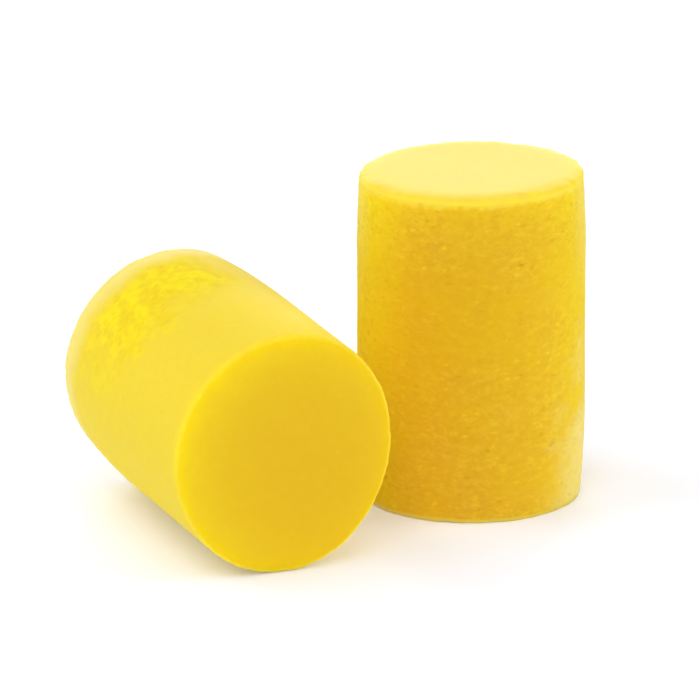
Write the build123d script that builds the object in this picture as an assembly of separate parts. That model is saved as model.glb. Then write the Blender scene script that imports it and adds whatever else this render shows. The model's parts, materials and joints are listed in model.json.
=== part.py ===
from build123d import *
import math
import os

# A pair of foam ear plugs without a cord, in millimetres, +Z up.
#
# Each plug is one solid cylinder of slow-recovery PVC foam, with two flat ends and a
# soft rounded rim round each end. The wall is straight round the middle, and draws in a
# little towards the rims. The two plugs are loose: one stands on its end, and the other
# lies on its side close to it.
#
# The origin is the centre of the standing plug's base, on the surface that both rest on.
# +X runs from the lying plug to the standing one, and the lying plug points to -Y.

# Standing plug.
standing_diameter = 13.5
standing_length = 19.9
standing_base_draw_in = 0.27        # how much smaller the radius is at the base's rim
standing_base_draw_length = 5.0     # how far up the wall the base end draws in
standing_top_draw_in = 0.16
standing_top_draw_length = 5.0

# Lying plug. Its far end points to +Y and its near end to -Y.
lying_diameter = 13.85
lying_length = 20.0
lying_far_draw_in = 0.37
lying_far_draw_length = 7.7
lying_near_draw_in = 0.03
lying_near_draw_length = 5.0

# The rounded rim round every end.
rim_radius = 0.6

# How the lying plug lies beside the standing one.
plug_gap = 2.1        # clear space between the two walls
lying_turn = 22.5     # degrees that the near end turns from -Y towards +X
lying_forward = 0.35  # how far its middle is past the standing plug, along its own axis

standing_radius = standing_diameter / 2
lying_radius = lying_diameter / 2


def plug_half_section(radius, length, first_draw_in, first_draw_length, last_draw_in, last_draw_length):
    """The half of a plug's section at +X: first end at Z = 0, last end at Z = length.

    Flat end, arc that leaves the straight wall without a kink, straight wall, the same
    arc the other way up, flat end, and back along the axis.
    """
    first_rim = (radius - first_draw_in, 0)
    wall_start = (radius, first_draw_length)
    wall_end = (radius, length - last_draw_length)
    last_rim = (radius - last_draw_in, length)
    outline = Curve() + [
        Line((0, 0), first_rim),
        TangentArc(wall_start, first_rim, tangent=(0, -1)),
        Line(wall_start, wall_end),
        TangentArc(wall_end, last_rim, tangent=(0, 1)),
        Line(last_rim, (0, length)),
        Line((0, length), (0, 0)),
    ]
    return make_face(Plane.XZ * outline)


def foam_plug(*section_sizes):
    """One plug, a solid of revolution about Z, with both of its rims rounded."""
    turned = revolve(plug_half_section(*section_sizes), Axis.Z)
    end_faces = turned.faces().filter_by(GeomType.PLANE)
    return fillet(end_faces.edges(), rim_radius)


def lay_down(plug):
    """Lays an upright plug on its side, beside the standing plug and clear of it."""
    turn = math.radians(lying_turn)
    sideways = standing_radius + plug_gap + lying_radius
    middle_x = -sideways * math.cos(turn) + lying_forward * math.sin(turn)
    middle_y = -sideways * math.sin(turn) - lying_forward * math.cos(turn)
    on_its_side = Rot(X=90) * Pos(0, 0, -lying_length / 2) * plug
    return Pos(middle_x, middle_y, lying_radius) * Rot(Z=lying_turn) * on_its_side


standing_plug = foam_plug(
    standing_radius,
    standing_length,
    standing_base_draw_in,
    standing_base_draw_length,
    standing_top_draw_in,
    standing_top_draw_length,
)

lying_plug = lay_down(foam_plug(
    lying_radius,
    lying_length,
    lying_far_draw_in,
    lying_far_draw_length,
    lying_near_draw_in,
    lying_near_draw_length,
))

nodes = {
    "standing_plug": standing_plug,
    "lying_plug": lying_plug,
}

os.makedirs("parts", exist_ok=True)
for node_name, solid in nodes.items():
    export_step(solid, f"parts/{node_name}.step")
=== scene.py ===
import json
import math

import bpy
import numpy as np
from mathutils import Matrix, Vector


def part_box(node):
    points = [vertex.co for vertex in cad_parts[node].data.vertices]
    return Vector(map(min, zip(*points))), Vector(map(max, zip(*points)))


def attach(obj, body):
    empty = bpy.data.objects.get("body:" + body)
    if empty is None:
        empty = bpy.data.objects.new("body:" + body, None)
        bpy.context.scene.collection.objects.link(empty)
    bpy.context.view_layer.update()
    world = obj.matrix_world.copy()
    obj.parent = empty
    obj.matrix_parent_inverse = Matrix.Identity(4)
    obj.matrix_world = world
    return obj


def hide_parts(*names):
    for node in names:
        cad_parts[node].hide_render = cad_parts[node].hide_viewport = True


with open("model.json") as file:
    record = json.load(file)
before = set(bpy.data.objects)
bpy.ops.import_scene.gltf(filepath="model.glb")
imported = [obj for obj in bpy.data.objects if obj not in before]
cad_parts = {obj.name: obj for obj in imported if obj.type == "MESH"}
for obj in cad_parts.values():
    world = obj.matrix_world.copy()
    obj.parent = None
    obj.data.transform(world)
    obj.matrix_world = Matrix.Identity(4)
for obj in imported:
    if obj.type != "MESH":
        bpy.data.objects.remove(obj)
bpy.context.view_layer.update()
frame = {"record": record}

# ----------------------------------------------------------------------------------------
# Standing plug
# One solid cylinder of slow-recovery PVC foam. Its wall is cut and shows fine open cells,
# drawn out a little round the cut. Both ends keep a thin smooth skin, which rolls over the
# rim at the top. It stands on one end, and nothing holds it.
# ----------------------------------------------------------------------------------------

MM = 0.001              # metres in a millimetre
AROUND = 400            # points round a plug
END_RINGS = 14          # rings of points on the flat part of an end
RIM_RINGS = 16          # rings over a rim
WALL_RINGS = 168        # rings up the wall

# Sizes of a plug, its pattern included, are in mm.
RIM_POWER = 2.3         # 2 makes a rim an ellipse, and more makes it squarer
RIM_WAVE = 0.04         # about how far a soft rim wanders in and out
RIM_WAVE_SIZE = 0.7
RIM_WAVE_FADE = (0.2, 1.4)      # how far from a rim the waves start to fade, and are gone
LUMP_SIZE = 3.2         # slow swells that every soft foam piece has
LUMP_HEIGHT = 0.02
ROUGH_SIZE = 0.4        # the uneven wall that the cut leaves
ROUGH_STRETCH = 1.6     # it is this much longer round the plug than up it
ROUGH_HEIGHT = 0.024    # where the grain is strongest

# The flat map that the foam's pattern is stored on is 1 by 1.
MAP_WALL_LEFT, MAP_WALL_WIDTH = 0.004, 0.992
MAP_WALL_FOOT, MAP_WALL_HEIGHT = 0.006, 0.51
MAP_DISC_RADIUS = 0.232
MAP_FIRST_DISC = (0.25, 0.76)   # the middle of each end
MAP_LAST_DISC = (0.75, 0.76)


def corner_value(x, y, z, seed):
    """A random value from 0 to 1 for whole numbers x, y, z: their bits mixed by products and shifts."""
    mixed = x * 374761393 + y * 668265263 + z * 2147483629 + seed * 974634757
    mixed = mixed & 0xFFFFFFFF
    mixed = ((mixed ^ (mixed >> 13)) * 1274126177) & 0xFFFFFFFF
    mixed = ((mixed ^ (mixed >> 15)) * 2246822519) & 0xFFFFFFFF
    return (mixed ^ (mixed >> 16)) / 0xFFFFFFFF


def swells(points, size, seed):
    """Smooth random heights from -1 to 1, about size across.

    Every corner of a cubic lattice has a random height. A point takes the mean of the
    eight corners round it, each weighted by an s-shaped curve of how near it is. Every
    pattern has a seed of its own.
    """
    at = points / size
    corner = np.floor(at).astype(np.int64)
    part = at - corner
    ease = part * part * (3 - 2 * part)
    total = np.zeros(points.shape[:-1])
    for step in np.ndindex(2, 2, 2):
        near = np.prod(np.where(np.array(step) == 1, ease, 1 - ease), axis=-1)
        total += near * corner_value(*np.moveaxis(corner + step, -1, 0), seed)
    return 2 * total - 1


def two_swells(points, size, seed):
    """Swells of one size, and on them weaker ones of half the size."""
    return swells(points, size, seed) + 0.7 * swells(points, size / 2, seed + 1)


def eased(value, start, end):
    """0 before start, 1 past end, and an s-shaped curve between."""
    part = np.clip((value - start) / (end - start), 0, 1)
    return part * part * (3 - 2 * part)


def plug_outline(radius, length, draws, rims):
    """Half of a plug's outline: distance from the axis and height of each ring.

    Out along the first end, over its rim, up the wall, over the last rim, and in along
    the last end. The wall's radius falls by the square of the way into each draw-in,
    which is (depth, length). A rim is (across, down), a quarter of a superellipse: its
    steps across and down are the sine and one less the cosine of the same angle, each
    raised to two over RIM_POWER.
    """
    def wall_radius(height):
        into_first = np.clip(1 - height / draws[0][1], 0, 1)
        into_last = np.clip(1 - (length - height) / draws[1][1], 0, 1)
        return radius - draws[0][0] * into_first ** 2 - draws[1][0] * into_last ** 2

    turn = np.linspace(0, np.pi / 2, RIM_RINGS + 1)[1:]
    across = np.sin(turn) ** (2 / RIM_POWER)
    down = 1 - np.clip(np.cos(turn), 0, 1) ** (2 / RIM_POWER)
    out = np.linspace(0, 1, END_RINGS + 1)[1:]
    (first_across, first_down), (last_across, last_down) = rims
    first_flat = wall_radius(first_down) - first_across
    last_flat = wall_radius(length - last_down) - last_across
    height = np.linspace(first_down, length - last_down, WALL_RINGS + 1)[1:]
    distances = [
        first_flat * out,
        first_flat + first_across * across,
        wall_radius(height),
        (last_flat + last_across * across)[-2::-1],
        last_flat * out[::-1],
    ]
    heights = [
        np.zeros(END_RINGS),
        first_down * down,
        height,
        (length - last_down * down)[-2::-1],
        np.full(END_RINGS, length),
    ]
    return np.concatenate(distances), np.concatenate(heights)


def depths(place, radius, length):
    """How far each place lies behind the first end, behind the last end, and inside the wall."""
    return place[..., 2], length - place[..., 2], radius - np.hypot(place[..., 0], place[..., 1])


def plug_surface(radius, length, draws, rims, oval, slopes, looks, seed):
    """A plug in its own frame, in mm: its first end at height 0 and its axis along Z.

    The outline is turned round the axis. The turned surface is then made a little oval,
    with the radius times one plus cosines of two and three times the angle, its ends are
    tilted by their slopes, and it is pushed in and out along its normal by the swells,
    the waves of its rims and the roughness of its wall. looks(place) gives the values
    that the foam's shader reads, by name, from 0 to 1. Returns the points by ring, the
    two poles, the places before they were pushed, and the looks.
    """
    distance, height = plug_outline(radius, length, draws, rims)
    run, rise = np.gradient(distance), np.gradient(height)
    scale = np.hypot(run, rise)
    outward, upward = rise / scale, -run / scale

    angle = np.arange(AROUND) * 2 * np.pi / AROUND
    round_x, round_y = np.cos(angle), np.sin(angle)
    high = np.broadcast_to(height[:, None], (len(height), AROUND))
    place = np.stack([distance[:, None] * round_x, distance[:, None] * round_y, high], axis=-1)
    level = np.broadcast_to(upward[:, None], high.shape)
    normal = np.stack([outward[:, None] * round_x, outward[:, None] * round_y, level], axis=-1)
    look_values = looks(place)

    from_first, from_last, inside = depths(place, radius, length)
    from_rim = np.hypot(np.minimum(from_first, from_last), inside)
    drawn_out = place / [ROUGH_STRETCH, ROUGH_STRETCH, 1]
    push = LUMP_HEIGHT * swells(place, LUMP_SIZE, seed + 10)
    push += ROUGH_HEIGHT * two_swells(drawn_out, ROUGH_SIZE, seed + 30) * look_values["grain"]
    push += RIM_WAVE * two_swells(place, RIM_WAVE_SIZE, seed + 40) * (1 - eased(from_rim, *RIM_WAVE_FADE))

    (two_share, two_angle), (three_share, three_angle) = oval
    widen = 1 + two_share * np.cos(2 * (angle - two_angle)) + three_share * np.cos(3 * (angle - three_angle))
    points = place * np.stack([widen, widen, np.ones(AROUND)], axis=-1) + normal * push[..., None]
    to_first = np.clip(1 - 2 * high / length, 0, 1)
    to_last = np.clip(2 * high / length - 1, 0, 1)
    points[..., 2] += to_first * (place[..., :2] @ slopes[0]) + to_last * (place[..., :2] @ slopes[1])

    poles = np.array([[0, 0, -push[0].mean()], [0, 0, length + push[-1].mean()]])
    return points, poles, place, look_values


def map_corners(place, rings_of_wall):
    """Where each corner of each face lies on the flat map that the pattern is stored on.

    The wall and rims are one rectangle along the bottom, as wide as the way round. Each
    flat end is a disc above it, seen from outside.
    """
    rings = place.shape[0]
    first, last = rings_of_wall
    along = np.concatenate([[0], np.cumsum(np.linalg.norm(np.diff(place[:, 0], axis=0), axis=1))])
    up = MAP_WALL_FOOT + MAP_WALL_HEIGHT * (along - along[first]) / (along[last] - along[first])
    turn = MAP_WALL_LEFT + MAP_WALL_WIDTH * np.arange(AROUND + 1) / AROUND
    wall = np.stack(np.broadcast_arrays(turn[None], up[:, None]), axis=-1)
    closed = np.concatenate([place, place[:, :1]], axis=1)[..., :2]
    size = MAP_DISC_RADIUS / np.abs(closed[first]).max()
    first_disc = np.array(MAP_FIRST_DISC) + size * closed * [-1, 1]
    last_disc = np.array(MAP_LAST_DISC) + size * closed

    def corners(grid):
        return np.stack([grid[:-1, :-1], grid[:-1, 1:], grid[1:, 1:], grid[1:, :-1]], axis=2)

    def fan(middle, before, after):
        return np.stack([np.broadcast_to(middle, (AROUND, 2)), before, after], axis=1)

    lower = np.arange(rings - 1)[:, None, None, None]
    above_first = np.where(lower >= last, corners(last_disc), corners(wall))
    quads = np.where(lower < first, corners(first_disc), above_first)
    first_fan = fan(MAP_FIRST_DISC, first_disc[0, 1:], first_disc[0, :-1])
    last_fan = fan(MAP_LAST_DISC, last_disc[-1, :-1], last_disc[-1, 1:])
    return np.concatenate([quads.reshape(-1, 2), first_fan.reshape(-1, 2), last_fan.reshape(-1, 2)])


def plug_object(name, surface, placing):
    """A closed mesh of the surface's rings and poles, put in its place by placing, a 4 x 4 matrix."""
    points, poles, place, looks = surface
    rings = points.shape[0]
    coordinates = np.concatenate([points.reshape(-1, 3), poles]) * MM
    coordinates = coordinates @ np.array(placing)[:3, :3].T + np.array(placing)[:3, 3]

    grid = np.arange(rings * AROUND).reshape(rings, AROUND)
    grid = np.concatenate([grid, grid[:, :1]], axis=1)
    quads = np.stack([grid[:-1, :-1], grid[:-1, 1:], grid[1:, 1:], grid[1:, :-1]], axis=-1).reshape(-1, 4)
    first_pole, last_pole = rings * AROUND, rings * AROUND + 1
    first_fan = np.stack([np.full(AROUND, first_pole), grid[0, 1:], grid[0, :-1]], axis=-1)
    last_fan = np.stack([np.full(AROUND, last_pole), grid[-1, :-1], grid[-1, 1:]], axis=-1)
    corners = np.concatenate([quads.ravel(), first_fan.ravel(), last_fan.ravel()])
    sizes = np.concatenate([np.full(len(quads), 4), np.full(2 * AROUND, 3)])

    mesh = bpy.data.meshes.new(name)
    mesh.vertices.add(len(coordinates))
    mesh.vertices.foreach_set("co", coordinates.ravel())
    mesh.loops.add(len(corners))
    mesh.loops.foreach_set("vertex_index", corners)
    mesh.polygons.add(len(sizes))
    mesh.polygons.foreach_set("loop_start", np.cumsum(sizes) - sizes)
    mesh.update(calc_edges=True)
    mesh.shade_smooth()

    wall_rings = (END_RINGS - 1, rings - END_RINGS)
    flat_map = mesh.uv_layers.new(name="OFBake")
    flat_map.uv.foreach_set("vector", map_corners(place, wall_rings).ravel())

    def keep(attribute, kind, field, values, at_poles):
        made = mesh.attributes.new(attribute, kind, "POINT")
        everywhere = np.concatenate([values.reshape(rings * AROUND, -1), at_poles])
        made.data.foreach_set(field, everywhere.ravel())

    keep("foam_place", "FLOAT_VECTOR", "vector", place, poles)
    for look, values in looks.items():
        keep(look, "FLOAT", "value", values, values[[0, -1], :1])

    piece = bpy.data.objects.new(name, mesh)
    bpy.context.scene.collection.objects.link(piece)
    return piece


def linear(hex_colour):
    """An sRGB hex colour as linear red, green, blue and alpha."""
    values = [int(hex_colour[i:i + 2], 16) / 255 for i in (1, 3, 5)]
    curved = [v / 12.92 if v <= 0.04045 else ((v + 0.055) / 1.055) ** 2.4 for v in values]
    return (*curved, 1.0)


def add_node(tree, kind, inputs=None, **settings):
    """Adds a node. inputs maps a socket's name or number to a value or to the output that feeds it."""
    node = tree.nodes.new(kind)
    for key, value in settings.items():
        setattr(node, key, value)
    for socket, value in (inputs or {}).items():
        if isinstance(value, bpy.types.NodeSocket):
            tree.links.new(value, node.inputs[socket])
        else:
            node.inputs[socket].default_value = value
    return node


# Slow-recovery PVC foam, dyed yellow through and through. Where its skin is whole it is
# smooth enough to take a pale shine from behind at a low angle, and a pale sheen is painted
# into its colour as well. A clearer yellow, partly the skin's own tone and partly a painted
# glow of light through the foam, lies on the skin, round the rims and at the sides. Where the
# cut has opened its cells it is matt, deeper in colour and finely grained, with small pits
# painted darker as shade and raised flecks painted paler as highlight. Light goes a short
# way in, which softens all of it.
FOAM_SMOOTH = "#E4BB04"
FOAM_GRAINY = "#E2B32A"
# A clearer yellow: partly the skin's own tone, partly a painted glow of light through rims and sides.
FOAM_CLEAR_AND_GLOW = "#F6E010"
# A pale tint: painted sheen, light on the skin put into its colour.
FOAM_PAINTED_SHEEN = "#F5E795"
# A deeper tint: painted shade in the pits.
FOAM_PIT_SHADE = "#D49E10"
# A paler tint: painted highlight on the raised flecks.
FOAM_FLECK_HIGHLIGHT = "#FADC30"
MATT_ROUGHNESS = 1.0
SHINY_ROUGHNESS = 0.45
PVC_IOR = 1.5
FOAM_SPECULAR = 0.2             # open cells throw back less than a solid surface, which is 0.5
LIGHT_REACH = (1.0, 0.7, 0.15)  # how far red, green and blue light goes in, in mm
LIGHT_REACH_SHARE = 0.8         # share of the light that goes in
GRAIN_SIZE = 0.34               # coarsest part of the grain
GRAIN_STRETCH = 1.6             # the grain is this much longer round the plug than up it
GRAIN_WARP = 0.3                # how far the grain pulls pits and flecks out of round
CLOUD_SIZE = 1.4                # slow changes of its strength
DOT_SPACING = 0.38              # from one pit or fleck to the next
DOT_CORE, DOT_EDGE = 0.1, 0.4   # in spacings: a pit or fleck is whole inside the one, gone past the other
DEEPEST_PIT, HIGHEST_FLECK = -1.3, 1.3
RELIEF_HEIGHT = 0.04            # what a height of 1 in the relief stands for


def foam_relief(tree, place, grain):
    """Heights of the foam's surface: fine noise from -1 to 1, with pits and flecks on it.

    Each cell of a pattern of scattered dots holds one pit or fleck, as deep or high as
    its random colour says. All of it is scaled by slow clouds and by the grain's strength.
    """
    drawn_out = add_node(tree, "ShaderNodeMapping", {
        "Vector": place,
        "Scale": (1 / GRAIN_STRETCH, 1 / GRAIN_STRETCH, 1),
    }).outputs["Vector"]
    noise = add_node(tree, "ShaderNodeTexNoise", {
        "Vector": drawn_out,
        "Scale": 1 / GRAIN_SIZE,
        "Detail": 3.0,
        "Roughness": 0.7,
    })
    fine = add_node(tree, "ShaderNodeMapRange", {
        "Value": noise.outputs["Fac"],
        "From Min": 0.25,
        "From Max": 0.75,
        "To Min": -1.0,
        "To Max": 1.0,
    }).outputs["Result"]
    warped = add_node(tree, "ShaderNodeVectorMath", {
        0: noise.outputs["Color"],
        1: (GRAIN_WARP, GRAIN_WARP, GRAIN_WARP),
        2: drawn_out,
    }, operation="MULTIPLY_ADD").outputs["Vector"]
    cells = add_node(tree, "ShaderNodeTexVoronoi", {
        "Vector": warped,
        "Scale": 1 / DOT_SPACING,
    })
    dot = add_node(tree, "ShaderNodeMapRange", {
        "Value": cells.outputs["Distance"],
        "From Min": DOT_CORE,
        "From Max": DOT_EDGE,
        "To Min": 1.0,
        "To Max": 0.0,
    }, interpolation_type="SMOOTHSTEP").outputs["Result"]
    chance = add_node(tree, "ShaderNodeSeparateColor", {"Color": cells.outputs["Color"]}).outputs["Red"]
    pit_or_fleck = add_node(tree, "ShaderNodeMapRange", {
        "Value": chance,
        "To Min": DEEPEST_PIT,
        "To Max": HIGHEST_FLECK,
    }).outputs["Result"]
    dot = add_node(tree, "ShaderNodeMath", {0: dot, 1: pit_or_fleck}, operation="MULTIPLY").outputs[0]
    clouds = add_node(tree, "ShaderNodeTexNoise", {
        "Vector": drawn_out,
        "Scale": 1 / CLOUD_SIZE,
        "Detail": 2.0,
    }).outputs["Fac"]
    strength = add_node(tree, "ShaderNodeMath", {0: clouds, 1: grain}, operation="MULTIPLY").outputs[0]
    relief = add_node(tree, "ShaderNodeMath", {0: fine, 1: dot}, operation="ADD").outputs[0]
    return add_node(tree, "ShaderNodeMath", {0: relief, 1: strength}, operation="MULTIPLY").outputs[0]


def pvc_foam():
    """The foam's shader.

    It reads each point's place and four looks from 0 to 1: shine is how smooth the
    surface is, grain how open its cells are, clear how strong the yellow is, partly the foam's
    own tone and partly a painted glow of light through it, and the last how much painted pale
    sheen lies on it. Each colour is mixed over the one before it by its own share; the pits
    take painted shade and the raised flecks painted highlight.
    """
    material = bpy.data.materials.new("slow_recovery_pvc_foam")
    material.use_nodes = True
    tree = material.node_tree
    tree.nodes.clear()
    place = add_node(tree, "ShaderNodeAttribute", attribute_name="foam_place").outputs["Vector"]
    shine, grain, clear, painted_sheen = [
        add_node(tree, "ShaderNodeAttribute", attribute_name=look).outputs["Fac"]
        for look in ("shine", "grain", "clear", "painted_sheen")
    ]
    relief = foam_relief(tree, place, grain)
    # Painted shade darkens the colour in the pits, and painted highlight lightens it on the raised flecks.
    pits, flecks = [
        add_node(tree, "ShaderNodeMath", {0: relief, 1: way}, operation="MULTIPLY", use_clamp=True).outputs[0]
        for way in (-1.0, 1.0)
    ]

    # Painted light is mixed in here: glow in the clear yellow, a pale sheen, shade in the pits and highlight
    # on the flecks.
    colour = linear(FOAM_SMOOTH)
    for share, tint in (
        (grain, FOAM_GRAINY),
        (clear, FOAM_CLEAR_AND_GLOW),
        (painted_sheen, FOAM_PAINTED_SHEEN),
        (pits, FOAM_PIT_SHADE),
        (flecks, FOAM_FLECK_HIGHLIGHT),
    ):
        colour = add_node(tree, "ShaderNodeMix", {
            "Factor": share,
            6: colour,
            7: linear(tint),
        }, data_type="RGBA").outputs[2]
    roughness = add_node(tree, "ShaderNodeMapRange", {
        "Value": shine,
        "To Min": MATT_ROUGHNESS,
        "To Max": SHINY_ROUGHNESS,
    }).outputs["Result"]
    bump = add_node(tree, "ShaderNodeBump", {
        "Height": relief,
        "Strength": 1.0,
        "Distance": RELIEF_HEIGHT * MM,
    }).outputs["Normal"]
    shader = add_node(tree, "ShaderNodeBsdfPrincipled", {
        "Base Color": colour,
        "Roughness": roughness,
        "IOR": PVC_IOR,
        "Specular IOR Level": FOAM_SPECULAR,
        "Subsurface Weight": LIGHT_REACH_SHARE,
        "Subsurface Radius": LIGHT_REACH,
        "Subsurface Scale": MM,
        "Normal": bump,
    })
    add_node(tree, "ShaderNodeOutputMaterial", {"Surface": shader.outputs["BSDF"]})
    return material


foam = pvc_foam()

STANDING_DRAWS = ((0.27, 5.0), (0.16, 5.0))     # base and top: depth and length
STANDING_RIMS = ((0.35, 0.1), (1.6, 0.45))      # base and top: across and down
STANDING_OVAL = ((0.0, 0.0), (0.0, 0.0))        # it is round
STANDING_SLOPES = ((-0.009, 0.0), (0.016, -0.007))  # base and top: rise per mm right and back
STANDING_LEAN = 0.003                           # radians towards the right
STANDING_SEED = 100
SKIN_EDGE = (0.4, 0.8)          # below the top, where its skin starts to fray and where it is gone
LIP_GLOW_REACH = 0.8                 # how far from the top's edge the lip's painted glow of clear yellow goes
# The smooth patch low on the right also carries a painted pale sheen.
LOW_RIGHT_BACK = (-1, 3)        # behind the middle, where the skin low on the right fades and is gone

standing_low, standing_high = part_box("standing_plug")
standing_radius = (standing_high.x - standing_low.x) / 2 / MM
standing_length = (standing_high.z - standing_low.z) / MM
standing_middle = (standing_low + standing_high) / 2


def standing_looks(place):
    """Cut open and matt, with a smooth skin on both ends and low on the right.

    The top's skin is a clearer yellow and rolls over its rim to a frayed edge. A painted glow
    of clear yellow lies round that edge, at both sides of the wall, most on the left, and a
    little under the rim. The wall is coarser near the top and low down. A pale sheen is
    painted on the skin of both ends, on the smooth patch low on the right, and at both sides
    near the top.
    """
    from_base, from_top, inside = depths(place, standing_radius, standing_length)
    right = place[..., 0] / standing_radius
    behind_middle = place[..., 1]
    up = place[..., 2] / standing_length
    on_base = from_base < inside
    patches = swells(place, 2.2, 61) + 0.5 * swells(place, 0.7, 62)
    fray = 0.12 * swells(place, 0.8, 63) + 0.16 * swells(place, 0.3, 64)

    skin = np.where(on_base, 1, 1 - eased(from_top + fray, *SKIN_EDGE))
    wall = 1 - skin
    # Painted glow: a clearer yellow round the top's edge, standing in for light through the thin rim.
    painted_lip_glow = np.exp(-np.hypot(from_top, inside) / LIP_GLOW_REACH) * (1 + 0.5 * swells(place, 0.5, 65))
    # Low on the right the skin is smoother, and a pale sheen is painted there as well.
    low_right = wall * eased(right - 0.9 * up + 0.15 * patches, 0.45, 0.95)
    low_right *= 1 - eased(behind_middle, *LOW_RIGHT_BACK)
    # Painted sheen: pale at both sides of the wall near the top.
    painted_side_sheen = wall * eased(np.abs(right), 0.85, 1.0) * eased(up, 0.55, 1.0)
    # Painted glow: clearer yellow at both sides, most on the left and a little under the rim, where light
    # comes through.
    painted_side_glow = eased(np.abs(right), 0.45, 1.0) * np.where(right < 0, 1.8, 0.8)
    painted_wall_glow = 0.35 * painted_side_glow + 0.14 * eased(up, 0.75, 0.95)
    near_top = eased(up, 0.72, 0.9)
    low_down = eased(1 - up, 0.45, 0.8)
    coarse = 0.5 + 0.2 * near_top + 0.15 * low_down + 0.2 * patches
    return {
        "shine": 0.85 * skin + 0.6 * low_right,
        "grain": 0.05 + np.clip(coarse, 0, 1) * wall * (1 - 0.5 * low_right),
        "clear": np.where(on_base, 0.1, 0.45 * skin + 0.4 * painted_lip_glow) + painted_wall_glow * wall,
        "painted_sheen": (0.2 - 0.1 * np.clip(painted_lip_glow, 0, 1)) * skin + 0.5 * low_right + 0.3 * painted_side_sheen,
    }


standing_surface = plug_surface(
    standing_radius,
    standing_length,
    draws=STANDING_DRAWS,
    rims=STANDING_RIMS,
    oval=STANDING_OVAL,
    slopes=STANDING_SLOPES,
    looks=standing_looks,
    seed=STANDING_SEED,
)
standing_place = Matrix.Translation((standing_middle.x, standing_middle.y, standing_low.z))
standing_place = standing_place @ Matrix.Rotation(STANDING_LEAN, 4, "Y")
standing_foam = plug_object("standing_foam_plug", standing_surface, standing_place)
standing_foam.data.materials.append(foam)
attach(standing_foam, "standing")
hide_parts("standing_plug")

# ----------------------------------------------------------------------------------------
# Lying plug
# The second plug of the pair, the same foam and make. It has gone a little oval, its ends
# are not quite square, and its skin is torn in one patch on the upper left of its wall. It
# lies beside the first, free to be picked up.
# ----------------------------------------------------------------------------------------

LYING_LENGTH = 20.0
LYING_TURN = math.radians(22.5)                 # its near end turns from -Y towards +X
LYING_PITCH = 0.0095                            # radians by which its far end rises
LYING_DRAWS = ((0.37, 7.7), (0.03, 5.0))        # far end and near end: depth and length
LYING_RIMS = ((1.8, 0.5), (2.2, 0.5))           # far end and near end: across and down
LYING_OVAL = ((0.037, 1.327), (0.0105, 0.838))  # shares, and angles from sideways towards up
LYING_SLOPES = ((-0.020, -0.004), (0.0025, -0.0125))    # far and near end: per mm right and up
LYING_SEED = 200
TORN_FIRST, TORN_LAST = (2.0, 4.0), (7.5, 11.5)         # from the far end: fades in, fades out
TORN_RIGHT, TORN_LEFT = (70, 95), (130, 190)            # round the plug, in degrees
TORN_STRETCH = 0.55             # scale along the plug: the torn foam's blotches are longer that way
RUBBED_EDGE = (0.2, 1.0)        # from the near rim, where the rubbing fades and where it is gone
RIM_GLOW_REACH = 1.9           # how far from the near rim its painted glow of clear yellow goes
FAR_SHEEN_EDGE = (0.8, 3.2)     # from the far rim, where the painted pale sheen fades and where it is gone

lying_low, lying_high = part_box("lying_plug")
lying_radius = (lying_high.z - lying_low.z) / 2 / MM


def lying_looks(place):
    """Smooth and fairly shiny, but torn in a ragged matt patch on its upper left.

    A pale sheen is painted on the far rim and the far end, and faintly on the rest of the
    wall outside the tear. The near rim is rubbed matt, and a painted glow of clear yellow lies
    round it, most of all on its upper left. The turn of a place runs in degrees from 0 at
    the right over 90 at the top.
    """
    from_far, from_near, inside = depths(place, lying_radius, LYING_LENGTH)
    turn = np.degrees(np.arctan2(place[..., 1], place[..., 0])) % 360
    along = place * [1, 1, TORN_STRETCH]
    patches = swells(along, 1.3, 71) + 0.8 * swells(along, 0.7, 72) + 0.5 * swells(along, 0.35, 73)
    torn = eased(from_far + 0.5 * patches, *TORN_FIRST) * (1 - eased(from_far + 1.2 * patches, *TORN_LAST))
    torn *= eased(turn + 8 * patches, *TORN_RIGHT) * (1 - eased(turn + 10 * patches, *TORN_LEFT))
    blotch = eased(swells(along, 0.7, 76) + 0.8 * swells(along, 0.3, 77), -0.7, 0.7)

    on_near = from_near < inside
    from_rim = np.hypot(from_near, inside) + 0.2 * swells(place, 0.8, 75)
    rubbed = 1 - eased(from_rim, *RUBBED_EDGE)
    upper_left = eased(180 - np.abs(turn - 160), 0, 180)
    # Painted glow: clearer yellow round the near rim, strongest on its upper left, where light comes through.
    painted_rim_glow = (0.2 + 0.7 * upper_left) * np.exp(-np.clip(from_rim, 0, None) / RIM_GLOW_REACH)
    # Painted sheen: pale at the far rim and on the far end.
    far_painted_sheen = 0.5 * (1 - eased(np.maximum(from_far, inside / 2) + 0.3 * patches, *FAR_SHEEN_EDGE))
    shine = np.where(on_near, 0.8, 0.45 + 0.1 * swells(place, 2.0, 74))
    # The pale look also lays a faint painted sheen on the wall outside the tear.
    return {
        "shine": shine * (1 - torn) * (1 - rubbed),
        "grain": np.where(on_near, 0.1, 0.15 + 0.4 * torn),
        "clear": np.maximum(painted_rim_glow, np.where(on_near, 0, 0.5 + 0.4 * torn * blotch)),
        "painted_sheen": far_painted_sheen + np.where(on_near, 0, 0.08 * (1 - torn)),
    }


lying_surface = plug_surface(
    lying_radius,
    LYING_LENGTH,
    draws=LYING_DRAWS,
    rims=LYING_RIMS,
    oval=LYING_OVAL,
    slopes=LYING_SLOPES,
    looks=lying_looks,
    seed=LYING_SEED,
)

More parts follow.
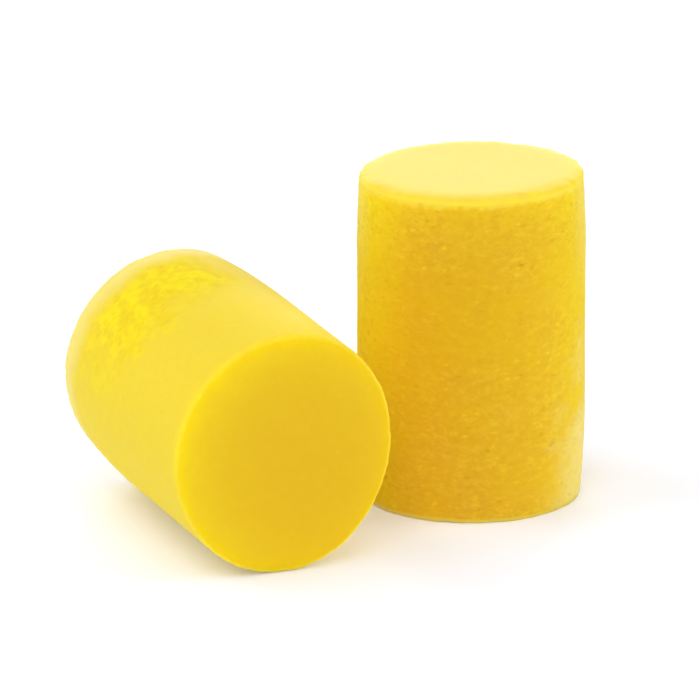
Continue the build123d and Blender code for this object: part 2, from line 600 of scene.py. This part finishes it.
# The mount is the straight part of the wall, and the plug's middle lies behind its middle.
barrel = next(mount for mount in frame["record"]["mounts"] if mount["name"] == "lying_barrel")
behind = (LYING_DRAWS[0][1] - LYING_DRAWS[1][1]) / 2 * MM
lying_middle = Vector(barrel["pos_m"]) - behind * Vector(barrel["axis"])
on_its_side = Matrix.Rotation(LYING_TURN, 4, "Z") @ Matrix.Rotation(math.pi / 2 + LYING_PITCH, 4, "X")
on_its_side = on_its_side @ Matrix.Translation((0, 0, -LYING_LENGTH / 2 * MM))
lowest = (MM * lying_surface[0] @ np.array(on_its_side)[2, :3]).min() + on_its_side[2][3]
lying_place = Matrix.Translation((lying_middle.x, lying_middle.y, lying_low.z - lowest)) @ on_its_side
lying_foam = plug_object("lying_foam_plug", lying_surface, lying_place)
lying_foam.data.materials.append(foam)
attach(lying_foam, "lying")
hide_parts("lying_plug")

# ----------------------------------------------------------------------------------------
# Floor
# A plain sheet of matt white acrylic with a faint light under it, as a table for product
# pictures has. It keeps the shadows pale, and the foam's lower half takes its light from it.
# ----------------------------------------------------------------------------------------

FLOOR_HALF = 0.8
FLOOR_DROP = 0.01 * MM      # just under the plugs' own level, so that no face shares its plane
ACRYLIC_WHITE = "#F3F5FF"
ACRYLIC_ROUGHNESS = 0.9
ACRYLIC_SPECULAR = 0.2
GLOW_WHITE = "#F8FBFF"
TABLE_GLOW = 0.13

floor_corners = [(-1, -1), (1, -1), (1, 1), (-1, 1)]
floor_points = [(x * FLOOR_HALF, y * FLOOR_HALF, -FLOOR_DROP) for x, y in floor_corners]
floor_mesh = bpy.data.meshes.new("floor")
floor_mesh.from_pydata(floor_points, [], [(0, 1, 2, 3)])
floor = bpy.data.objects.new("floor", floor_mesh)
bpy.context.scene.collection.objects.link(floor)
acrylic = bpy.data.materials.new("matt_white_acrylic")
acrylic.use_nodes = True
acrylic_shader = acrylic.node_tree.nodes["Principled BSDF"]
acrylic_shader.inputs["Base Color"].default_value = linear(ACRYLIC_WHITE)
acrylic_shader.inputs["Roughness"].default_value = ACRYLIC_ROUGHNESS
acrylic_shader.inputs["Specular IOR Level"].default_value = ACRYLIC_SPECULAR
acrylic_shader.inputs["Emission Color"].default_value = linear(GLOW_WHITE)
acrylic_shader.inputs["Emission Strength"].default_value = TABLE_GLOW
floor_mesh.materials.append(acrylic)

# ----------------------------------------------------------------------------------------
# Studio light
# A tent of large soft boxes all round the plugs, brightest behind and at the right, in a
# dim white room.
# ----------------------------------------------------------------------------------------

LIGHT_TARGET = Vector((-0.007, 0, 0.01))    # between the plugs
BOX_SIZE = 0.8
# Degrees round from straight behind by way of the right, degrees up and metres away; watts.
SOFT_BOXES = {
    "top": ((0, 89, 1.2), 2.4),
    "left_high": ((270, 52, 1.2), 5.0),
    "front_high": ((180, 52, 1.2), 4.2),
    "back_low": ((0, 18, 1.3), 7.8),
    "right_low": ((90, 18, 1.3), 7.1),
    "front_low": ((180, 18, 1.3), 2.6),
    "front_left_low": ((225, 18, 1.3), 2.4),
    "back_left_low": ((315, 18, 1.3), 1.8),
}
ROOM_STRENGTH = 0.136


def soft_box(name, bearing, rise, distance, energy):
    """A square area light that faces the plugs and is unseen by the camera."""
    bearing, rise = math.radians(bearing), math.radians(rise)
    level = math.cos(rise)
    way = Vector((math.sin(bearing) * level, math.cos(bearing) * level, math.sin(rise)))
    light = bpy.data.lights.new(name, "AREA")
    light.shape = "SQUARE"
    light.size = BOX_SIZE
    light.energy = energy
    box = bpy.data.objects.new(name, light)
    box.location = distance * way
    box.rotation_mode = "QUATERNION"
    box.rotation_quaternion = (LIGHT_TARGET - box.location).to_track_quat("-Z", "Y")
    box.visible_camera = False
    bpy.context.scene.collection.objects.link(box)


for box_name, (box_place, box_energy) in SOFT_BOXES.items():
    soft_box(box_name, *box_place, box_energy)

# The room is dim as a light on the plugs, and plain white where the camera sees it.
room = bpy.data.worlds.new("white_room")
room.use_nodes = True
room_tree = room.node_tree
seen = add_node(room_tree, "ShaderNodeLightPath").outputs["Is Camera Ray"]
room_light = add_node(room_tree, "ShaderNodeMapRange", {
    "Value": seen,
    "To Min": ROOM_STRENGTH,
    "To Max": 1.0,
}).outputs["Result"]
background = room_tree.nodes["Background"]
background.inputs["Color"].default_value = (1, 1, 1, 1)
room_tree.links.new(room_light, background.inputs["Strength"])
bpy.context.scene.world = room
bpy.context.scene.view_settings.view_transform = "Standard"

# ----------------------------------------------------------------------------------------
# Camera
# A long lens a little over half a metre away and 17 degrees up, aimed between the plugs.
# ----------------------------------------------------------------------------------------

CAMERA_DISTANCE = 0.563
CAMERA_RISE = 0.3008        # radians above the horizon
CAMERA_ROLL = -0.005
AIM_LEFT = 0.00713          # the aim, left of and below the standing plug's middle
AIM_LOWER = 0.00121
LENS = 489.3                # in mm, with a sensor 36 mm wide
SENSOR = 36

camera_data = bpy.data.cameras.new("camera")
camera_data.sensor_width = SENSOR
camera_data.lens = LENS
camera = bpy.data.objects.new("camera", camera_data)
away = Vector((0, -math.cos(CAMERA_RISE), math.sin(CAMERA_RISE)))
picture_up = Vector((0, math.sin(CAMERA_RISE), math.cos(CAMERA_RISE)))
aim = standing_middle - Vector((AIM_LEFT, 0, 0)) - AIM_LOWER * picture_up
camera.location = standing_middle + CAMERA_DISTANCE * away
camera.rotation_mode = "QUATERNION"
looking = (aim - camera.location).to_track_quat("-Z", "Y")
camera.rotation_quaternion = looking @ Matrix.Rotation(CAMERA_ROLL, 3, "Z").to_quaternion()
camera_data.clip_start = 0.05
camera_data.clip_end = 10
bpy.context.scene.collection.objects.link(camera)
bpy.context.scene.camera = camera
